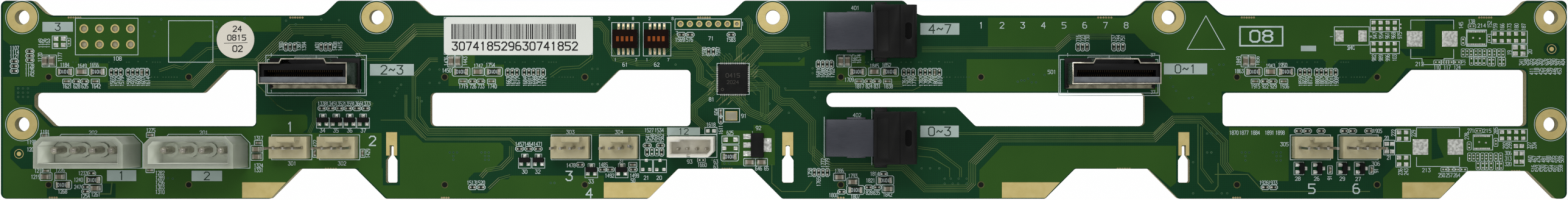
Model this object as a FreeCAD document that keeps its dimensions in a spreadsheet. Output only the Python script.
import FreeCAD, Part
import math
import os

import Sketcher
from FreeCAD import Placement, Rotation, Vector

# Drive backplane board for eight 3.5 inch drives, in four columns and two rows.
# X runs along the board, Y across it towards the edge with the tabs, and Z out of the
# component side. The origin is the centre of the footprint on the plane of the drive
# connectors' mating faces: the board lies on its drive connectors, component side up.
# Places along the board are given from the centre line of a drive column, and places
# across it from the top edge of the tabs or from the bottom edge.

COLUMNS = 4

SIZES = {
    # Drive grid, which sets the board's length and width
    "column_pitch": 107.1,
    "left_margin": 31.9,
    "right_margin": 70.3,
    "upper_row_depth": 20.65,
    "row_pitch": 29.1,
    "lower_row_height": 3.75,
    # Board
    "board_thickness": 2.0,
    "tab_height": 4.0,
    "tab_round": 1.5,
    "shoulder_fillet": 3.8,
    "notch_depth": 8.1,
    "end_notch_depth": 7.5,
    "notch_round": 1.0,
    "corner_round": 1.6,
    "window_gap": 0.75,
    "window_end_gap": 1.1,
    "window_rise": 6.2,
    "window_floor": 19.6,
    "window_round": 1.2,
    "slot_width": 3.8,
    "cut_corner": 5.3,
    # Holes through the board
    "mount_hole": 3.9,
    "hole_inset_left": 5.8,
    "hole_inset_right": 4.4,
    "hole_inset_top": 4.5,
    "lower_hole_height": 20.1,
    "middle_hole_offset": 37.35,
    "bottle_offset": 33.3,
    "bottle_width": 3.1,
    "bottle_foot": 4.3,
    "bottle_shoulder": 10.4,
    "bottle_neck": 1.2,
    "bottle_top": 14.3,
    "spare_power_hole": 1.6,
    "spare_power_pitch": 4.2,
    "spare_header_hole": 1.0,
    # Drive connectors on the back
    "drive_height": 8.9,
    "drive_length": 43.4,
    "drive_width": 7.0,
    "drive_base": 4.2,
    "drive_nose_length": 40.6,
    "drive_nose_width": 5.4,
    "blade_slot_length": 36.6,
    "blade_slot_width": 1.9,
    "blade_slot_depth": 6.4,
    "blade_foot": 1.3,
    "blade_foot_reach": 3.5,
    "blade_lead_in": 0.5,
    "guide_width": 2.4,
    "guide_depth": 3.4,
    "guide_reach": 0.9,
    "peg_spacing": 37.9,
    "peg_diameter": 1.4,
    "peg_clearance": 0.1,
    # Four-way power headers
    "power_length": 23.6,
    "power_width": 8.4,
    "power_height": 11.1,
    "power_wall": 1.25,
    "power_floor": 2.2,
    "power_chamfer": 2.0,
    "power_pitch": 5.08,
    "power_pin": 2.1,
    "power_pin_height": 9.2,
    "power_pin_offset": 0.5,
    "power_boss": 3.9,
    "power_boss_height": 0.9,
    # Fan headers
    "fan_length": 10.16,
    "fan_width": 5.85,
    "fan_base": 3.4,
    "fan_lock_width": 4.7,
    "fan_lock_height": 8.3,
    "fan_lock_wall": 0.9,
    "fan_lock_hook": 0.6,
    "fan_lock_offset": 1.05,
    "header_pitch": 2.54,
    "header_pin": 0.64,
    "fan_pin_height": 11.1,
    "pin_tail": 1.4,
    # Shrouded signal header
    "signal_length": 12.3,
    "signal_width": 5.4,
    "signal_height": 8.4,
    "signal_wall": 0.75,
    "signal_floor": 1.4,
    "signal_chamfer": 1.5,
    "signal_key": 2.4,
    "signal_notch": 1.0,
    "signal_pitch": 2.5,
    "signal_pin_height": 7.2,
    # Right-angle cable sockets
    "socket_height": 9.7,
    "socket_length": 11.5,
    "socket_width": 13.9,
    "socket_cover_length": 12.7,
    "socket_cover_width": 9.8,
    "socket_cover_drop": 0.3,
    "port_width": 11.4,
    "port_height": 6.9,
    "port_depth": 4.6,
    "port_floor": 1.3,
    "card_slot_width": 9.4,
    "card_slot_height": 1.2,
    "card_slot_pitch": 3.1,
    "card_slot_depth": 4.0,
    "latch_window": 4.4,
    "panel_depth": 0.25,
    "socket_flange": 1.1,
    # Vertical high-density connectors
    "tall_length": 23.4,
    "tall_width": 5.7,
    "tall_height": 11.0,
    "tall_sheet": 0.3,
    "tall_bulge_length": 11.4,
    "tall_bulge": 1.1,
    "tall_slot_length": 20.8,
    "tall_slot_width": 1.7,
    "tall_slot_depth": 8.2,
    "tall_lip": 0.7,
    "tall_flange": 1.4,
    "tall_flange_length": 24.3,
    "tall_flange_width": 8.2,
    "tall_flange_shift": 0.1,
    "tall_post": 0.9,
    # Sealed slide switches
    "switch_length": 6.7,
    "switch_width": 5.0,
    "switch_height": 2.5,
    "switch_pitch": 1.27,
    "slider_width": 0.7,
    "slider_length": 1.2,
    "slider_travel": 0.8,
    "tape_thickness": 0.08,
    "lead_width": 0.5,
    "lead_thickness": 0.15,
    "lead_reach": 1.6,
    # Chips and small packages
    "controller_side": 8.0,
    "controller_height": 0.9,
    "oscillator_length": 3.2,
    "oscillator_width": 2.5,
    "oscillator_height": 0.75,
    "oscillator_lid": 0.15,
    "regulator_length": 6.5,
    "regulator_width": 3.5,
    "regulator_height": 1.6,
    "transistor_length": 2.9,
    "transistor_width": 1.35,
    "transistor_height": 1.0,
    "small_chip_length": 1.0,
    "small_chip_width": 0.5,
    "small_resistor_height": 0.35,
    "small_capacitor_height": 0.5,
    "resistor_length": 3.2,
    "resistor_width": 1.6,
    "resistor_height": 0.6,
    "capacitor_length": 2.0,
    "capacitor_width": 1.25,
    "capacitor_height": 0.95,
    "terminal": 0.45,
    # Labels
    "label_thickness": 0.1,
    "barcode_length": 40.2,
    "barcode_width": 10.2,
    "barcode_round": 1.2,
    "round_label": 10.2,
}

# Tops of the tabs on the upper edge, from and to (column, distance); None is the board's end
TABS = [
    (None, (0, -23.3)),
    ((1, -47.9), (1, -26.7)),
    ((2, -45.1), (2, -2.0)),
    ((3, -43.9), (3, -27.0)),
    ((3, 59.1), None),
]

# Floors of the notches in the bottom edge, from and to (column, distance), and their depth
NOTCHES = [
    ((0, 49.1), (1, -43.0), "notch_depth"),
    ((1, 44.1), (2, -42.9), "notch_depth"),
    ((2, 44.4), (3, -42.9), "notch_depth"),
    ((3, 43.4), (3, 59.7), "end_notch_depth"),
]

# Air windows that step up beside the drive connector: column, step and right end
STEPPED_WINDOWS = [(0, 22.9, 37.1), (1, 21.9, 47.5), (3, 22.0, 59.3)]

# Window with a slot under the drive connector: column, slot end and right end
SLOTTED_WINDOW = (2, 12.3, 63.2)
SLOTTED_STEP = 5.2

FAN_HEADERS = [(0, 46.8), (1, -47.4), (1, 15.3), (1, 28.3), (3, 0.9), (3, 13.8)]
POWER_HEADERS = [(0, -5.7), (0, 23.3)]
TALL_CONNECTORS = [(1, -53.7), (2, 53.6)]
SWITCHES = [(1, 30.0), (1, 38.5)]
SOCKET_COLUMN = (2, -10.4)
SIGNAL_HEADER = (1, 48.1)

doc = FreeCAD.newDocument("drive_backplane")
sheet = doc.addObject("Spreadsheet::Sheet", "Sizes")
for row, (alias, value) in enumerate(SIZES.items(), start=1):
    sheet.set("A%d" % row, alias)
    sheet.set("B%d" % row, str(value))
    sheet.setAlias("B%d" % row, alias)
doc.recompute()

NODES = []


def size(alias):
    """Value of one size on the sheet."""
    return float(sheet.get(alias))


BOARD_LENGTH = (COLUMNS - 1) * size("column_pitch") + size("left_margin") + size("right_margin")
BOARD_WIDTH = size("upper_row_depth") + size("row_pitch") + size("lower_row_height")
UNDERSIDE = size("drive_height")
TOP = UNDERSIDE + size("board_thickness")
TOP_EXPRESSION = "Sizes.drive_height + Sizes.board_thickness"


def column_x(column, distance=0.0):
    """X of a place given from the centre line of a drive column."""
    return size("left_margin") - BOARD_LENGTH / 2 + column * size("column_pitch") + distance


def from_top(depth):
    """Y of a place given below the top edge of the tabs."""
    return BOARD_WIDTH / 2 - depth


def from_bottom(height):
    """Y of a place given above the bottom edge."""
    return height - BOARD_WIDTH / 2


UPPER_ROW = from_top(size("upper_row_depth"))
ROWS = [UPPER_ROW, UPPER_ROW - size("row_pitch")]


def new_body(label, x=0.0, y=0.0, height=None):
    """An empty body; height is an expression for the level that it stands on."""
    body = doc.addObject("PartDesign::Body", label)
    body.Label = label
    body.Placement = Placement(Vector(x, y, 0), Rotation())
    if height:
        body.setExpression("Placement.Base.z", height)
    NODES.append(body)
    return body


def new_sketch(body, name, role, offset):
    """An empty sketch on one of the body's planes, moved by the offset's expressions."""
    sketch = body.newObject("Sketcher::SketchObject", name)
    plane = next(item for item in body.Origin.OriginFeatures if item.Role == role)
    sketch.AttachmentSupport = (plane, "")
    sketch.MapMode = "FlatFace"
    for axis, expression in zip("xyz", offset):
        if expression:
            sketch.setExpression("AttachmentOffset.Base." + axis, expression)
    return sketch


def rectangle(body, name, length, width, offset=("", "", ""), role="XY_Plane"):
    """A rectangle centred on the sketch's origin, its sides bound to two expressions."""
    sketch = new_sketch(body, name, role, offset)
    corners = [Vector(-1, -1, 0), Vector(1, -1, 0), Vector(1, 1, 0), Vector(-1, 1, 0)]
    sketch.addGeometry([Part.LineSegment(a, b) for a, b in zip(corners, corners[1:] + corners[:1])])
    rules = [Sketcher.Constraint("Coincident", i, 2, (i + 1) % 4, 1) for i in range(4)]
    rules += [Sketcher.Constraint("Horizontal", i) for i in (0, 2)]
    rules += [Sketcher.Constraint("Vertical", i) for i in (1, 3)]
    rules.append(Sketcher.Constraint("Symmetric", 0, 1, 1, 2, -1, 1))
    sketch.addConstraint(rules)
    across = sketch.addConstraint(Sketcher.Constraint("DistanceX", 0, 1, 0, 2, 2.0))
    along = sketch.addConstraint(Sketcher.Constraint("DistanceY", 1, 1, 1, 2, 2.0))
    sketch.setExpression("Constraints[%d]" % across, length)
    sketch.setExpression("Constraints[%d]" % along, width)
    return sketch


def rounded_loop(corners):
    """Sketch geometry of a closed loop through (x, y, radius) corners, in order."""
    ends = []
    count = len(corners)
    for i, (x, y, radius) in enumerate(corners):
        here = Vector(x, y, 0)
        back = (Vector(*corners[i - 1][:2], 0) - here).normalize()
        ahead = (Vector(*corners[(i + 1) % count][:2], 0) - here).normalize()
        half = back.getAngle(ahead) / 2
        run = radius / math.tan(half)
        middle = here + (back + ahead).normalize() * (radius / math.sin(half) - radius)
        ends.append((here + back * run, middle, here + ahead * run, radius))
    geometry = []
    for i, (start, middle, end, radius) in enumerate(ends):
        if radius > 0:
            geometry.append(Part.ArcOfCircle(start, middle, end))
        following = ends[(i + 1) % count][0]
        if end.distanceToPoint(following) > 1e-6:
            geometry.append(Part.LineSegment(end, following))
    return geometry


def drawing(body, name, loops, offset=("", "", ""), role="XY_Plane"):
    """A sketch of closed loops, each a list of (x, y) or (x, y, radius) corners."""
    sketch = new_sketch(body, name, role, offset)
    for loop in loops:
        sketch.addGeometry(rounded_loop([(tuple(corner) + (0.0,))[:3] for corner in loop]))
    return sketch


def circles(body, name, centres, radius, offset=("", "", "")):
    """A sketch of equal circles."""
    sketch = new_sketch(body, name, "XY_Plane", offset)
    axis = Vector(0, 0, 1)
    sketch.addGeometry([Part.Circle(Vector(x, y, 0), axis, radius) for x, y in centres])
    return sketch


def pad(body, sketch, length, midplane=False):
    """Material raised from a sketch, its length an expression."""
    feature = body.newObject("PartDesign::Pad", sketch.Name + "_pad")
    feature.Profile = sketch
    feature.SideType = "Symmetric" if midplane else "One side"
    feature.setExpression("Length", length)
    return feature


def pocket(body, sketch, depth=None, upwards=False):
    """Material cut down from a sketch, or up from it, by an expression or right through."""
    feature = body.newObject("PartDesign::Pocket", sketch.Name + "_pocket")
    feature.Profile = sketch
    feature.Reversed = upwards
    if depth:
        feature.setExpression("Length", depth)
    else:
        feature.Type = "ThroughAll"
    return feature


def polygon(x, y, radius, sides=8):
    """Corners of a regular polygon round a centre, standing on one side."""
    turn = 2 * math.pi / sides
    steps = [turn * (i + 0.5) for i in range(sides)]
    return [(x + radius * math.cos(a), y + radius * math.sin(a)) for a in steps]


def square(x, y, side):
    """Corners of a square round a centre."""
    return [(x + side / 2 * i, y + side / 2 * j) for i, j in ((-1, -1), (1, -1), (1, 1), (-1, 1))]


def add_feature(label, shapes):
    """A node made of one or more separate solids."""
    node = doc.addObject("Part::Feature", label)
    node.Label = label
    node.Shape = shapes[0] if len(shapes) == 1 else Part.makeCompound(shapes)
    NODES.append(node)
    return node


def form(name, length, width, height):
    """A box with bound sides whose copies are spread over the board."""
    box = doc.addObject("Part::Box", name)
    for side, expression in zip(("Length", "Width", "Height"), (length, width, height)):
        box.setExpression(side, expression)
    doc.recompute()
    return box


def copies(box, places, level=TOP):
    """Copies of a form, centred on (x, y, upright) places, standing on a level."""
    shapes = []
    for x, y, upright in places:
        shape = box.Shape.copy()
        shape.translate(Vector(-float(box.Length) / 2, -float(box.Width) / 2, 0))
        shape.Placement = Placement(Vector(x, y, level), Rotation(90 if upright else 0, 0, 0)) * shape.Placement
        shapes.append(shape)
    return shapes


def prism(corners, depth, axis):
    """A flat polygon of 3D corners drawn out by a depth along an axis."""
    face = Part.Face(Part.makePolygon([Vector(*c) for c in corners + corners[:1]]))
    return face.extrude(Vector(*axis) * depth)


def board_outline():
    """Corners of the board, clockwise from its lower left corner."""
    left, right = -BOARD_LENGTH / 2, BOARD_LENGTH / 2
    top, bottom = from_top(0), from_bottom(0)
    drop = size("tab_height")
    end, tip, fillet = size("corner_round"), size("tab_round"), size("shoulder_fillet")
    corners = [(left, bottom, end)]
    for start, stop in TABS:
        if start is None:
            corners.append((left, top, end))
        else:
            x = column_x(*start)
            corners += [(x - drop, top - drop, fillet), (x, top, tip)]
        if stop is None:
            corners.append((right, top, end))
        else:
            x = column_x(*stop)
            corners += [(x, top, tip), (x + drop, top - drop, fillet)]
    corners.append((right, bottom, end))
    small = size("notch_round")
    for start, stop, alias in reversed(NOTCHES):
        rise = size(alias)
        x0, x1 = column_x(*start), column_x(*stop)
        corners += [(x1 + rise, bottom, small), (x1, bottom + rise, small)]
        corners += [(x0, bottom + rise, small), (x0 - rise, bottom, small)]
    return corners


def board_windows():
    """Loops of the air windows between the two rows of drives."""
    top = UPPER_ROW - size("drive_width") / 2 - size("window_gap")
    floor = from_bottom(size("window_floor"))
    rise = size("window_rise")
    small = size("window_round")
    start = -size("drive_length") / 2 - size("window_end_gap")
    loops = []
    for column, step, stop in STEPPED_WINDOWS:
        x0, x1, x2 = column_x(column, start), column_x(column, step), column_x(column, stop)
        loop = [(x1, top, small), (x1 + rise, top + rise, small)]
        loop += [(x2, top + rise, small), (x2, floor, small)]
        if column == 0:
            cut = size("cut_corner")
            loop += [(x0 + cut, floor, small), (x0, floor + cut, small)]
        else:
            loop.append((x0, floor, small))
        loops.append(loop + [(x0, top, small)])
    column, slot_end, stop = SLOTTED_WINDOW
    width = size("slot_width")
    x0, x1, x2 = column_x(column, start), column_x(column, slot_end), column_x(column, stop)
    slant = SLOTTED_STEP
    loops.append([
        (x0, top, width * 0.45), (x2, top, small), (x2, floor, small), (x1 + slant, floor, small),
        (x1, top - width, small), (x0, top - width, width * 0.45),
    ])
    return loops


def bottle_slot(column):
    """Loop of a bottle-shaped hanging slot beside a drive column."""
    x = column_x(column, -size("bottle_offset"))
    wide, neck = size("bottle_width") / 2, size("bottle_neck") / 2
    foot, shoulder = from_bottom(size("bottle_foot")), from_bottom(size("bottle_shoulder"))
    top = from_bottom(size("bottle_top"))
    slant = (wide - neck) * 1.4
    cut = neck * 0.6
    return [
        (x - wide + cut, foot), (x - wide, foot + cut), (x - wide, shoulder), (x - neck, shoulder + slant),
        (x - neck, top - cut), (x - neck + cut, top), (x + neck - cut, top), (x + neck, top - cut),
        (x + neck, shoulder + slant), (x + wide, shoulder), (x + wide, foot + cut), (x + wide - cut, foot),
    ]


def corner_holes():
    """Centres of the four corner mounting holes."""
    left = size("hole_inset_left") - BOARD_LENGTH / 2
    right = BOARD_LENGTH / 2 - size("hole_inset_right")
    levels = (from_top(size("hole_inset_top")), from_bottom(size("lower_hole_height")))
    return [(x, y) for x in (left, right) for y in levels]


def middle_holes():
    """Centres of the mounting holes on the three inner tabs."""
    y = from_top(size("hole_inset_top"))
    return [(column_x(column, -size("middle_hole_offset")), y) for column in range(1, COLUMNS)]


def peg_holes():
    """Centres of the drive connectors' locating pegs."""
    half = size("peg_spacing") / 2
    return [(column_x(c, side * half), y) for c in range(COLUMNS) for y in ROWS for side in (-1, 1)]


SPARE_POWER_AT = (0, -9.4, 7.6)
SPARE_HEADER_AT = (1, 44.8, 6.3)
SPARE_HEADER_WAYS = 7


def spare_power_holes():
    """Centres of the empty two-row power pattern."""
    column, distance, depth = SPARE_POWER_AT
    pitch = size("spare_power_pitch")
    return [(column_x(column, distance + pitch * i), from_top(depth + pitch * j))
            for i in range(4) for j in range(2)]


def spare_header_holes():
    """Centres of the empty seven-way header."""
    column, distance, depth = SPARE_HEADER_AT
    return [(column_x(column, distance + size("header_pitch") * i), from_top(depth))
            for i in range(SPARE_HEADER_WAYS)]


def header_row(x, y, pitch, ways=4):
    """Centres of a row of pins about a point."""
    return [(x + (i - (ways - 1) / 2) * pitch, y) for i in range(ways)]


POWER_Y = from_bottom(12.8)
FAN_Y = from_bottom(13.9)
SIGNAL_PLACE = (column_x(*SIGNAL_HEADER), from_bottom(14.2))
SIGNAL_PIN_PLACE = (SIGNAL_PLACE[0] + 0.25, SIGNAL_PLACE[1] - 0.55)


def power_pin_places(place):
    """Centres of a power header's pins."""
    return header_row(column_x(*place), POWER_Y + size("power_pin_offset"), size("power_pitch"))


def fan_pin_places(place):
    """Centres of a fan header's pins."""
    return header_row(column_x(*place), FAN_Y, size("header_pitch"))


def circuit_board():
    """The laminate with its stepped edges, air windows and drilled holes."""
    body = new_body("circuit_board")
    level = ("", "", "Sizes.drive_height")
    upper = ("", "", TOP_EXPRESSION)
    pad(body, drawing(body, "outline", [board_outline()], level), "Sizes.board_thickness")
    pocket(body, drawing(body, "air_windows", board_windows(), upper))
    pocket(body, drawing(body, "bottle_slots", [bottle_slot(c) for c in range(1, COLUMNS)], upper))
    centres = corner_holes() + middle_holes()
    pocket(body, circles(body, "mounting_holes", centres, size("mount_hole") / 2, upper))
    for name, centres, radius, sides in (
            ("peg_holes", peg_holes(), size("peg_diameter") / 2 + size("peg_clearance"), 6),
            ("spare_power_holes", spare_power_holes(), size("spare_power_hole") / 2, 8),
            ("spare_header_holes", spare_header_holes(), size("spare_header_hole") / 2, 6)):
        loops = [polygon(x, y, radius, sides) for x, y in centres]
        pocket(body, drawing(body, name, loops, upper))
    # Solder fills the holes of the fitted headers, so each is the section of its pin
    loops = [polygon(x, y, size("power_pin") / 2, 6) for place in POWER_HEADERS for x, y in power_pin_places(place)]
    square_pins = [spot for place in FAN_HEADERS for spot in fan_pin_places(place)]
    square_pins += header_row(*SIGNAL_PIN_PLACE, size("signal_pitch"))
    loops += [square(x, y, size("header_pin")) for x, y in square_pins]
    pocket(body, drawing(body, "pin_holes", loops, upper))


def drive_connector(label, column, y):
    """A drive receptacle on the back: stepped block, blade slot with its foot, two pegs."""
    body = new_body(label, column_x(column), y)
    base = rectangle(body, "base", "Sizes.drive_length", "Sizes.drive_width", ("", "", "Sizes.drive_base"))
    pad(body, base, "Sizes.drive_height - Sizes.drive_base")
    pad(body, rectangle(body, "nose", "Sizes.drive_nose_length", "Sizes.drive_nose_width"), "Sizes.drive_base")
    half = size("peg_spacing") / 2
    pegs = [polygon(side * half, 0, size("peg_diameter") / 2, 6) for side in (-1, 1)]
    pad(body, drawing(body, "pegs", pegs, ("", "", "Sizes.drive_height")), "Sizes.board_thickness")
    slot = rectangle(body, "blade_slot", "Sizes.blade_slot_length", "Sizes.blade_slot_width")
    pocket(body, slot, "Sizes.blade_slot_depth", upwards=True)
    foot_x = "-Sizes.blade_slot_length / 2 + Sizes.blade_foot / 2"
    foot_y = "(Sizes.blade_foot_reach - Sizes.blade_slot_width) / 2"
    foot = rectangle(body, "blade_foot", "Sizes.blade_foot", "Sizes.blade_foot_reach", (foot_x, foot_y, ""))
    pocket(body, foot, "Sizes.blade_slot_depth", upwards=True)
    lead = "Sizes.blade_slot_width + 2 * Sizes.blade_lead_in"
    mouth = rectangle(body, "lead_in", "Sizes.blade_slot_length + Sizes.blade_lead_in", lead)
    pocket(body, mouth, "Sizes.blade_lead_in", upwards=True)
    # A notch in each end of the nose guides the ears of the drive's plug
    end, wide, deep = size("drive_nose_length") / 2, size("guide_width") / 2, size("guide_reach")
    notches = [[(a, -wide), (b, -wide), (b, wide), (a, wide)]
               for a, b in ((-end - deep, -end + deep), (end - deep, end + deep))]
    pocket(body, drawing(body, "guide_notches", notches), "Sizes.guide_depth", upwards=True)


def shroud(body, outer, inner, height, floor):
    """A shroud open at the top: an outline raised to a height and hollowed to a floor."""
    pad(body, drawing(body, "shroud", [outer]), height)
    pocket(body, drawing(body, "cavity", [inner], ("", "", height)), "%s - %s" % (height, floor))


def cut_corner_box(length, width, chamfers, inset=0.0):
    """Rectangle corners with some cut: chamfers for (-x -y), (+x -y), (+x +y), (-x +y)."""
    half_x, half_y = length / 2 - inset, width / 2 - inset
    corners = []
    for (sx, sy), cut in zip(((-1, -1), (1, -1), (1, 1), (-1, 1)), chamfers):
        cut = max(cut - inset * 0.59, 0.0)
        if not cut:
            corners.append((sx * half_x, sy * half_y))
            continue
        pair = [(sx * half_x, sy * (half_y - cut)), (sx * (half_x - cut), sy * half_y)]
        corners += pair if sx * sy > 0 else pair[::-1]
    return corners


def power_header(number, place):
    """A power header: chamfered shroud, bosses and four round pins."""
    body = new_body("power_header_housing_%d" % number, column_x(*place), POWER_Y, TOP_EXPRESSION)
    length, width, wall = size("power_length"), size("power_width"), size("power_wall")
    cuts = (0, 0, size("power_chamfer"), size("power_chamfer"))
    outer = cut_corner_box(length, width, cuts)
    inner = cut_corner_box(length, width, cuts, wall)
    shroud(body, outer, inner, "Sizes.power_height", "Sizes.power_floor")
    pins = header_row(0, size("power_pin_offset"), size("power_pitch"))
    bosses = [polygon(x, y, size("power_boss") / 2, 12) for x, y in pins]
    pad(body, drawing(body, "bosses", bosses, ("", "", "Sizes.power_floor")), "Sizes.power_boss_height")
    level = ("", "", "Sizes.power_floor + Sizes.power_boss_height")
    holes = [polygon(x, y, size("power_pin") / 2, 6) for x, y in pins]
    pocket(body, drawing(body, "pin_seats", holes, level))
    shapes = []
    radius = size("power_pin") / 2
    start = UNDERSIDE - size("pin_tail")
    for x, y in power_pin_places(place):
        flat = [corner + (start,) for corner in polygon(x, y, radius, 6)]
        pin = prism(flat, TOP + size("power_pin_height") - start, (0, 0, 1))
        end = max(pin.Faces, key=lambda face: face.CenterOfMass.z)
        shapes.append(pin.makeChamfer(radius * 0.45, end.Edges))
    add_feature("power_header_pins_%d" % number, shapes)


def square_pin(x, y, height, lean=0.0):
    """A square pin through the board with a blunt point; a lean in degrees bends it in Y."""
    side = size("header_pin")
    start = UNDERSIDE - size("pin_tail")
    knee = TOP + size("fan_base")
    corner = Vector(x - side / 2, y - side / 2, start)
    if not lean:
        pin = Part.makeBox(side, side, TOP + height - start, corner)
    else:
        pin = Part.makeBox(side, side, TOP + height - knee, Vector(x - side / 2, y - side / 2, knee))
        pin.rotate(Vector(x, y, knee), Vector(1, 0, 0), -lean)
    end = max(pin.Faces, key=lambda face: face.CenterOfMass.z)
    pin = pin.makeChamfer(side * 0.3, end.Edges)
    if lean:
        stem = Part.makeBox(side, side, knee - start, corner)
        pin = pin.fuse(stem).removeSplitter()
    return pin


BENT_PIN = (3, 3)
BENT_PIN_LEAN = 5.0


def fan_header(number, place):
    """A fan header: low base, hooked friction lock on one side, four square pins."""
    body = new_body("fan_header_housing_%d" % number, column_x(*place), FAN_Y, TOP_EXPRESSION)
    base = rectangle(body, "base", "Sizes.fan_length", "Sizes.fan_width")
    pad(body, base, "Sizes.fan_base")
    side, wall = size("fan_width") / 2, size("fan_lock_wall")
    tall, hook = size("fan_lock_height"), size("fan_lock_hook")
    low = size("fan_base") / 2
    lock = [(side, low), (side, tall), (side - wall - hook / 2, tall), (side - wall - hook, tall - hook),
            (side - wall - hook, tall - 2 * hook), (side - wall, tall - 3 * hook), (side - wall, low)]
    profile = drawing(body, "lock", [lock], ("", "", "Sizes.fan_lock_offset"), "YZ_Plane")
    pad(body, profile, "Sizes.fan_lock_width", midplane=True)
    seats = [square(x, y, size("header_pin")) for x, y in header_row(0, 0, size("header_pitch"))]
    pocket(body, drawing(body, "pin_seats", seats, ("", "", "Sizes.fan_base")))
    pins = []
    for index, (x, y) in enumerate(fan_pin_places(place)):
        lean = BENT_PIN_LEAN if (number - 1, index) == BENT_PIN else 0.0
        pins.append(square_pin(x, y, size("fan_pin_height"), lean))
    add_feature("fan_header_pins_%d" % number, pins)


def signal_header():
    """The small shrouded header with one cut corner, a key block and a slit in its wall."""
    x0, y0 = SIGNAL_PLACE
    body = new_body("signal_header_housing", x0, y0, TOP_EXPRESSION)
    length, width, wall = size("signal_length"), size("signal_width"), size("signal_wall")
    cuts = (0, size("signal_chamfer"), 0, 0)
    outer = cut_corner_box(length, width, cuts)
    half_x, half_y = length / 2 - wall, width / 2 - wall
    key, step = size("signal_key"), wall * 0.7
    inner = cut_corner_box(length, width, cuts, wall)[:-1]
    inner += [(key - half_x, half_y), (key - half_x, half_y - step), (-half_x, half_y - step)]
    shroud(body, outer, inner, "Sizes.signal_height", "Sizes.signal_floor")
    slit = rectangle(body, "slit", "Sizes.signal_notch", "2 * Sizes.signal_wall",
                     ("-Sizes.signal_notch / 2", "-Sizes.signal_width / 2", "Sizes.signal_height"))
    pocket(body, slit, "Sizes.signal_height - 2 * Sizes.signal_floor")
    pins = header_row(SIGNAL_PIN_PLACE[0] - x0, SIGNAL_PIN_PLACE[1] - y0, size("signal_pitch"))
    seats = [square(x, y, size("header_pin")) for x, y in pins]
    pocket(body, drawing(body, "pin_seats", seats, ("", "", "Sizes.signal_floor")))
    places = header_row(*SIGNAL_PIN_PLACE, size("signal_pitch"))
    shapes = [square_pin(x, y, size("signal_pin_height")) for x, y in places]
    add_feature("signal_header_pins", shapes)


def cable_socket(number, y):
    """A right-angle cable socket: port housing at the front, shielding cover behind it."""
    x = column_x(*SOCKET_COLUMN)
    body = new_body("cable_socket_housing_%d" % number, x, y, TOP_EXPRESSION)
    length, tall = size("socket_length"), size("socket_height")
    width, flange = size("socket_width"), size("socket_flange")
    # Side view: a step down and a sloping nose at the latch end of the top wall
    step_x, step = length * 0.62, 0.25
    side = [(0, 0), (length, 0), (length, tall - 0.9), (length - 0.6, tall - step), (step_x, tall - step),
            (step_x - 0.3, tall), (0, tall)]
    pad(body, drawing(body, "side_view", [side], role="XZ_Plane"), "Sizes.socket_width", midplane=True)
    feet = "Sizes.socket_width + 2 * Sizes.socket_flange"
    foot = rectangle(body, "foot", "3 * Sizes.socket_flange", feet, ("2 * Sizes.socket_flange", "", ""))
    pad(body, foot, "2 * Sizes.socket_flange")
    middle = "Sizes.port_floor + Sizes.port_height / 2"
    port = rectangle(body, "port", "Sizes.port_width", "Sizes.port_height", ("", middle, "Sizes.socket_length"), "YZ_Plane")
    pocket(body, port, "Sizes.port_depth")
    for name, sign in (("lower_card_slot", "-"), ("upper_card_slot", "+")):
        level = "%s %s Sizes.card_slot_pitch / 2" % (middle, sign)
        slot = rectangle(body, name, "Sizes.card_slot_width", "Sizes.card_slot_height",
                         ("", level, "Sizes.socket_length - Sizes.port_depth"), "YZ_Plane")
        pocket(body, slot, "Sizes.card_slot_depth")
    far, slim = size("latch_window") / 2, size("latch_window") * 0.19
    place = length * 0.8
    oval = [(place - slim, -far, slim * 0.98), (place + slim, -far, slim * 0.98),
            (place + slim, far, slim * 0.98), (place - slim, far, slim * 0.98)]
    window = drawing(body, "latch_window", [oval], ("", "", "Sizes.socket_height"))
    pocket(body, window, "Sizes.socket_height - Sizes.port_floor - Sizes.port_height / 2")
    panel = rectangle(body, "marking_panel", "Sizes.socket_length * 0.27", "Sizes.socket_width * 0.77",
                      ("Sizes.socket_length * 0.215", "", "Sizes.socket_height"))
    pocket(body, panel, "Sizes.panel_depth")
    cover = new_body("cable_socket_cover_%d" % number, x, y, TOP_EXPRESSION)
    back, across = size("socket_cover_length"), size("socket_cover_width")
    top = tall - size("socket_cover_drop")
    view = [(-back, 0), (0, 0), (0, top), (-back + 0.4, top), (-back, top - 0.4)]
    pad(cover, drawing(cover, "side_view", [view], role="XZ_Plane"), "Sizes.socket_cover_width", midplane=True)
    # Solder tangs run down both sides, close behind the port housing
    tangs = [(sign * across / 2, sign * (across / 2 + flange / 2)) for sign in (-1, 1)]
    loops = [[(-back * 0.55, a), (-back * 0.15, a), (-back * 0.15, b), (-back * 0.55, b)] for a, b in tangs]
    pad(cover, drawing(cover, "tangs", loops), "Sizes.socket_height / 3")


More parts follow.
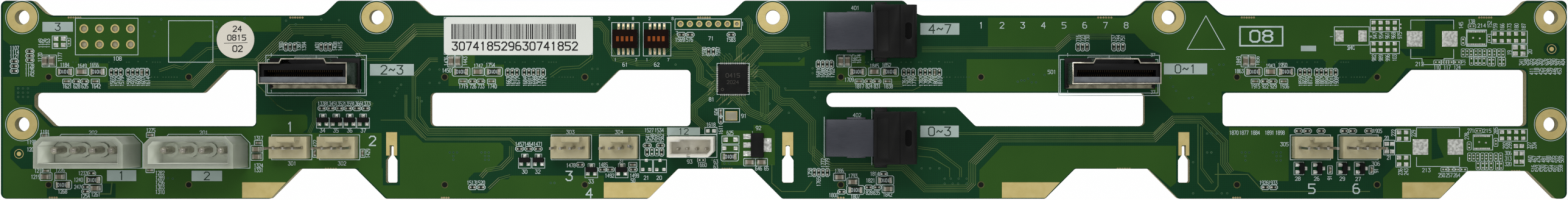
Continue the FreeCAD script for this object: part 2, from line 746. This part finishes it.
def tall_connector(number, place):
    """A tall vertical connector: slotted block on a flange, in a folded shell with a latch bulge."""
    x, y = column_x(*place), from_top(19.8)
    body = new_body("tall_connector_shell_%d" % number, x, y, TOP_EXPRESSION + " + Sizes.tall_flange")
    half_x, half_y = size("tall_length") / 2, size("tall_width") / 2
    sheet_gauge, bulge = size("tall_sheet"), size("tall_bulge")
    reach = size("tall_bulge_length") / 2

    def ring(inset, half_bulge):
        """Section of the shell, drawn in from its outer face by an inset."""
        a, b, c = half_x - inset, half_y - inset, half_bulge
        return [(-a, -b), (a, -b), (a, b), (c + bulge / 2, b), (c, b + bulge), (-c, b + bulge),
                (-c - bulge / 2, b), (-a, b)]

    section = [ring(0, reach), ring(sheet_gauge, reach - sheet_gauge / 2)]
    pad(body, drawing(body, "section", section), "Sizes.tall_height - Sizes.tall_flange")
    mouth = rectangle(body, "bulge_mouth", "Sizes.tall_bulge_length + 3 * Sizes.tall_bulge",
                      "2 * Sizes.tall_bulge", ("", "Sizes.tall_width / 2 + Sizes.tall_bulge + 0.01", ""))
    pocket(body, mouth, "Sizes.tall_height / 3", upwards=True)
    # Two prongs hang from the bulge's lower edge and hold the plug's latch
    front, behind = half_y + bulge, half_y + bulge - sheet_gauge
    tabs = [(-reach * 0.8, -reach * 0.5), (reach * 0.5, reach * 0.8)]
    loops = [[(a, behind), (b, behind), (b, front), (a, front)] for a, b in tabs]
    level = ("", "", "Sizes.tall_height / 3 - Sizes.tall_bulge")
    pad(body, drawing(body, "latch_tabs", loops, level), "Sizes.tall_bulge")
    block = new_body("tall_connector_block_%d" % number, x, y, TOP_EXPRESSION)
    flange = rectangle(block, "flange", "Sizes.tall_flange_length", "Sizes.tall_flange_width",
                       ("", "Sizes.tall_flange_shift", ""))
    pad(block, flange, "Sizes.tall_flange")
    core = rectangle(block, "core", "Sizes.tall_length - 2 * Sizes.tall_sheet",
                     "Sizes.tall_width - 2 * Sizes.tall_sheet")
    pad(block, core, "Sizes.tall_height - Sizes.tall_lip")
    slot = rectangle(block, "card_slot", "Sizes.tall_slot_length", "Sizes.tall_slot_width",
                     ("", "", "Sizes.tall_height - Sizes.tall_lip"))
    pocket(block, slot, "Sizes.tall_slot_depth")
    # Rounded posts stand on the flange's free strip, in front of the shell
    post = size("tall_post") / 2
    along = size("tall_flange_length") / 2 - post * 1.3
    front = size("tall_flange_shift") - size("tall_flange_width") / 2 + post * 1.3
    posts = [polygon(sign * along, front, post) for sign in (-1, 1)]
    pad(block, drawing(block, "posts", posts, ("", "", "Sizes.tall_flange")), "Sizes.tall_post * 0.7")


def gull_lead(x, root_y, side, reach, height, width):
    """A bent lead from a package side: root_y and side give where it starts and which way it runs."""
    gauge = size("lead_thickness")
    profile = [(0, height - gauge), (reach * 0.45, 0), (reach, 0), (reach, gauge), (reach * 0.55, gauge), (0, height)]
    corners = [(x - width / 2, root_y + side * out, TOP + up) for out, up in profile]
    return prism(corners, width, (1, 0, 0))


def slide_switch(number, place):
    """A four-way slide switch: body, sliders in their slots, sealing tape and eight leads."""
    x0, y0 = column_x(*place), from_top(10.4)
    body = new_body("switch_body_%d" % number, x0, y0, TOP_EXPRESSION)
    pad(body, rectangle(body, "case", "Sizes.switch_length", "Sizes.switch_width"), "Sizes.switch_height")
    pitch, wide, long = size("switch_pitch"), size("slider_width"), size("slider_length")
    half = long / 2 + size("slider_travel") / 2
    ways = header_row(0, 0, pitch)
    slots = [[(x - wide / 2, -half), (x + wide / 2, -half), (x + wide / 2, half), (x - wide / 2, half)] for x, _ in ways]
    pocket(body, drawing(body, "slider_slots", slots, ("", "", "Sizes.switch_height")), "Sizes.slider_length * 0.7")
    sliders = []
    depth = long * 0.7
    floor = TOP + size("switch_height") - depth
    for x, _ in ways:
        corner = Vector(x0 + x - wide / 2, y0 - long / 2, floor)
        sliders.append(Part.makeBox(wide, long, depth, corner))
    add_feature("switch_sliders_%d" % number, sliders)
    tape = doc.addObject("Part::Box", "switch_tape_%d" % number)
    tape.Label = tape.Name
    for side, expression in zip(("Length", "Width", "Height"),
                                ("Sizes.switch_length", "Sizes.switch_width", "Sizes.tape_thickness")):
        tape.setExpression(side, expression)
    tape.Placement = Placement(
        Vector(x0 - size("switch_length") / 2, y0 - size("switch_width") / 2, TOP + size("switch_height")), Rotation())
    NODES.append(tape)
    leads = []
    for x, _ in ways:
        for side in (-1, 1):
            root = y0 + side * size("switch_width") / 2
            leads.append(gull_lead(x0 + x, root, side, size("lead_reach"), 1.0, size("lead_width")))
    add_feature("switch_leads_%d" % number, leads)


def controller():
    """The flat square controller chip, its top edges slightly broken."""
    body = new_body("controller_chip", column_x(2, -48.1), from_top(21.2), TOP_EXPRESSION)
    chip = pad(body, rectangle(body, "case", "Sizes.controller_side", "Sizes.controller_side"), "Sizes.controller_height")
    doc.recompute()
    top = max(range(len(chip.Shape.Faces)), key=lambda i: chip.Shape.Faces[i].CenterOfMass.z)
    edge = body.newObject("PartDesign::Chamfer", "broken_edge")
    edge.Base = (chip, ["Face%d" % (top + 1)])
    edge.setExpression("Size", "Sizes.controller_height / 6")


def oscillator():
    """The clock can: ceramic tray and metal lid."""
    x, y = column_x(2, -48.5), from_bottom(22.4)
    tray = form("oscillator_tray_form", "Sizes.oscillator_length", "Sizes.oscillator_width",
                "Sizes.oscillator_height - Sizes.oscillator_lid")
    add_feature("oscillator_tray", copies(tray, [(x, y, False)]))
    rim = "2.5 * Sizes.oscillator_lid"
    lid = form("oscillator_lid_form", "Sizes.oscillator_length - " + rim, "Sizes.oscillator_width - " + rim,
               "Sizes.oscillator_lid")
    level = TOP + size("oscillator_height") - size("oscillator_lid")
    add_feature("oscillator_lid", copies(lid, [(x, y, False)], level))


def moulded_package(x, y, length, width, height, lift=0.1):
    """A package moulded in two halves, drafted from a parting line at half height."""
    draft = height * 0.06
    half = height / 2
    profile = [(-width / 2 + draft, lift), (width / 2 - draft, lift), (width / 2, half), (width / 2 - draft, height),
               (draft - width / 2, height), (-width / 2, half)]
    corners = [(x - length / 2, y + across, TOP + up) for across, up in profile]
    return prism(corners, length, (1, 0, 0))


def turned(shape, x, y, angle):
    """A shape turned about an upright line through (x, y)."""
    shape.rotate(Vector(x, y, 0), Vector(0, 0, 1), angle)
    return shape


def regulator():
    """The voltage regulator: moulded body, three leads on one side, a wide tab on the other."""
    x, y = column_x(2, -41.5), from_bottom(14.5)
    length, width, height = (size("regulator_" + name) for name in ("length", "width", "height"))
    add_feature("regulator_body", [turned(moulded_package(x, y, length, width, height), x, y, 90)])
    shapes = []
    for offset in (-2.3, 0, 2.3):
        shapes.append(gull_lead(x + offset, y + width / 2, 1, 1.75, height / 2, 0.75))
    shapes.append(gull_lead(x, y - width / 2, -1, 1.75, height / 2, 3.0))
    add_feature("regulator_leads", [turned(shape, x, y, 90) for shape in shapes])


TRANSISTOR_ROWS = [
    (1, -51.9, 21.3, 4, 3.64, 0),
    (1, 2.7, 10.5, 2, 3.7, 0),
    (1, 20.7, 7.9, 2, 8.2, 0),
    (3, -1.5, 8.2, 2, 4.8, -90),
    (3, 10.1, 8.2, 2, 4.7, -90),
]


def transistors():
    """The three-lead transistors: one lead on one side, two on the other."""
    length, width, height = (size("transistor_" + name) for name in ("length", "width", "height"))
    bodies, leads = [], []
    for column, distance, above, count, step, angle in TRANSISTOR_ROWS:
        for index in range(round(count)):
            x, y = column_x(column, distance + index * step), from_bottom(above)
            bodies.append(turned(moulded_package(x, y, length, width, height, 0.05), x, y, angle))
            for offset, side in ((0, 1), (-1, -1), (1, -1)):
                root = y + side * width / 2
                lead = gull_lead(x + offset * length / 3, root, side, 0.65, height * 0.6, 0.45)
                leads.append(turned(lead, x, y, angle))
    add_feature("transistor_bodies", bodies)
    add_feature("transistor_leads", leads)


def run(column, distance, y, count=1, step=0.0, rise=0.0, upright=False):
    """Places of a row of equal chips, from its first one."""
    return [(column_x(column, distance + i * step), y - i * rise, upright) for i in range(count)]


def small_resistors():
    """Places of the small resistors."""
    places = []
    for column in range(COLUMNS):
        places += run(column, -11.4, from_top(21.8), 2, 2.2)
        places += run(column, -1.9, from_top(19.4), 3, 1.25, upright=True)
        places += run(column, 2.6, from_top(19.4), 3, 1.25, upright=True)
        places += run(column, 7.7, from_top(19.4), upright=True)
    places += run(0, -28.2, from_top(16.4), 3, rise=1.3)
    places += run(0, -24.0, from_top(13.7), 3, rise=1.2)
    for column, distance in ((0, 45.2), (1, -52.3), (2, 45.2), (3, -52.2)):
        places += run(column, distance, from_top(12.5), 3, 1.2, upright=True)
    places += run(1, -52.1, from_bottom(24.4), 6, 2.36)
    places += run(1, 1.3, from_bottom(13.5), 3, 2.5)
    places += run(1, 17.7, from_bottom(9.2))
    places += run(1, 23.7, from_bottom(7.9), 2, 2.1)
    places += run(1, 32.0, from_bottom(7.9))
    places += run(1, 35.8, from_bottom(14.4), 2, 3.6)
    places += run(1, 35.8, from_bottom(12.6), 2, 3.9, upright=True)
    places += run(1, 45.1, from_top(9.2), 2, 2.3)
    places += run(2, -48.6, from_top(9.2))
    places += run(2, -54.7, from_top(13.8), 2, 1.3, upright=True)
    places += run(2, -51.4, from_bottom(21.3), upright=True)
    places += run(2, -25.0, from_top(17.2), 4, 1.17, upright=True)
    places += run(2, -26.1, from_bottom(7.1), 4, 1.17, upright=True)
    places += run(0, -7.3, from_bottom(6.9))
    places += run(0, -8.9, from_bottom(3.2), 2, rise=1.2)
    places += run(1, -11.4, from_bottom(3.1), 2, 2.3)
    places += run(2, -18.7, from_bottom(1.9))
    places += run(2, -7.4, from_bottom(6.7))
    places += run(2, -11.4, from_bottom(3.1), 2, 2.3)
    places += run(3, -11.3, from_bottom(3.1), 2, 2.2)
    places += run(3, -2.3, from_bottom(18.3), 2, 2.4)
    places += run(3, 3.8, from_bottom(18.3))
    places += run(3, 10.1, from_bottom(18.3), 2, 2.2)
    places += run(3, 16.7, from_bottom(18.3))
    return places


def small_capacitors():
    """Places of the small capacitors."""
    places = []
    for column in range(COLUMNS):
        places += run(column, -14.0, from_top(21.8))
        places += run(column, -6.3, from_top(21.8))
        places += run(column, 6.4, from_top(19.4), upright=True)
    places += run(0, 37.8, from_bottom(15.1))
    places += run(1, -54.0, from_bottom(12.3), upright=True)
    places += run(1, -41.1, from_bottom(12.3), upright=True)
    places += run(1, 31.9, from_bottom(9.2))
    places += run(2, -51.4, from_bottom(23.3), upright=True)
    places += run(0, -19.6, from_bottom(7.6))
    places += run(0, -20.0, from_bottom(17.1))
    places += run(0, 8.6, from_bottom(17.2))
    places += run(0, 8.5, from_bottom(7.7))
    places += run(3, 6.2, from_bottom(7.8), upright=True)
    places += run(3, 17.4, from_bottom(7.8), upright=True)
    return places


def power_resistors():
    """Places of the large resistors."""
    places = []
    for column in range(COLUMNS):
        places += run(column, -14.5, from_top(19.2), 2, 8.8)
    places += run(2, -49.0, from_bottom(11.4))
    places += run(0, -15.1, from_bottom(3.8))
    places += run(0, -6.9, from_bottom(5.1))
    places += run(2, -15.0, from_bottom(2.4))
    places += run(2, -7.0, from_bottom(5.0))
    return places


def bulk_capacitors():
    """Places of the large capacitors."""
    places = []
    for column, distance in enumerate((-19.7, -17.1, -19.0, -16.8)):
        places += run(column, -9.9, from_top(19.2))
        places += run(column, distance, from_top(16.3), 2, 1.85, upright=True)
    places += run(0, 37.4, from_bottom(13.4), 2, rise=2.0)
    places += run(2, -43.6, from_bottom(9.9), 2, 3.2)
    places += run(0, -19.6, from_bottom(6.0), 2, 3.9)
    places += run(0, -6.1, from_bottom(2.9))
    places += run(2, -19.3, from_bottom(5.9))
    places += run(2, -15.7, from_bottom(4.6))
    places += run(2, -6.2, from_bottom(2.7))
    return places


def capped_chips(body_label, cap_label, places, name):
    """Large chips: a body between two metal terminals."""
    length, width, height = ("Sizes.%s_%s" % (name, side) for side in ("length", "width", "height"))
    body = form(name + "_form", length + " - 2 * Sizes.terminal", width, height)
    cap = form(name + "_terminal_form", "Sizes.terminal", width, height)
    add_feature(body_label, copies(body, places))
    offset = size(name + "_length") / 2 - size("terminal") / 2
    ends = []
    for x, y, upright in places:
        for side in (-1, 1):
            shift = (0, side * offset) if upright else (side * offset, 0)
            ends.append((x + shift[0], y + shift[1], upright))
    add_feature(cap_label, copies(cap, ends))


def chips():
    """All resistors and capacitors."""
    small = ("Sizes.small_chip_length", "Sizes.small_chip_width")
    resistor = form("small_resistor_form", *small, "Sizes.small_resistor_height")
    capacitor = form("small_capacitor_form", *small, "Sizes.small_capacitor_height")
    add_feature("small_resistors", copies(resistor, small_resistors()))
    add_feature("small_capacitors", copies(capacitor, small_capacitors()))
    capped_chips("power_resistor_bodies", "power_resistor_terminals", power_resistors(), "resistor")
    capped_chips("bulk_capacitor_bodies", "bulk_capacitor_terminals", bulk_capacitors(), "capacitor")


def labels():
    """The two paper labels on the upper strip."""
    body = new_body("barcode_label", column_x(1, 1.0), from_top(9.6), TOP_EXPRESSION)
    half_x, half_y, small = size("barcode_length") / 2, size("barcode_width") / 2, size("barcode_round")
    corners = [(-half_x, -half_y, small), (half_x, -half_y, small), (half_x, half_y, small), (-half_x, half_y, small)]
    pad(body, drawing(body, "outline", [corners]), "Sizes.label_thickness")
    disc = new_body("round_label", column_x(0, 31.6), from_top(10.5), TOP_EXPRESSION)
    pad(disc, drawing(disc, "outline", [polygon(0, 0, size("round_label") / 2, 36)]), "Sizes.label_thickness")


circuit_board()
for row_name, row_y in zip(("upper", "lower"), ROWS):
    for column in range(COLUMNS):
        drive_connector("drive_connector_%s_%d" % (row_name, column + 1), column, row_y)
for number, place in enumerate(POWER_HEADERS, start=1):
    power_header(number, place)
for number, place in enumerate(FAN_HEADERS, start=1):
    fan_header(number, place)
signal_header()
for number, socket_y in enumerate((from_top(8.6), from_bottom(16.6)), start=1):
    cable_socket(number, socket_y)
for number, place in enumerate(TALL_CONNECTORS, start=1):
    tall_connector(number, place)
for number, place in enumerate(SWITCHES, start=1):
    slide_switch(number, place)
controller()
oscillator()
regulator()
transistors()
chips()
labels()
doc.recompute()

for item in doc.Objects:
    if "Invalid" in item.State or "Error" in item.State:
        raise RuntimeError("%s failed: %s" % (item.Name, item.State))
    if item.TypeId == "PartDesign::Pocket" and item.Shape.Volume > item.BaseFeature.Shape.Volume - 1e-6:
        raise RuntimeError("%s cut nothing" % item.Name)
for node in NODES:
    if node.Shape.isNull() or not node.Shape.isValid() or node.Shape.Volume <= 0:
        raise RuntimeError("%s has no valid shape" % node.Label)

os.makedirs("parts", exist_ok=True)
for node in NODES:
    node.Shape.exportStep(os.path.join("parts", node.Label + ".step"))
print("%d nodes, board %.1f x %.1f mm" % (len(NODES), BOARD_LENGTH, BOARD_WIDTH))
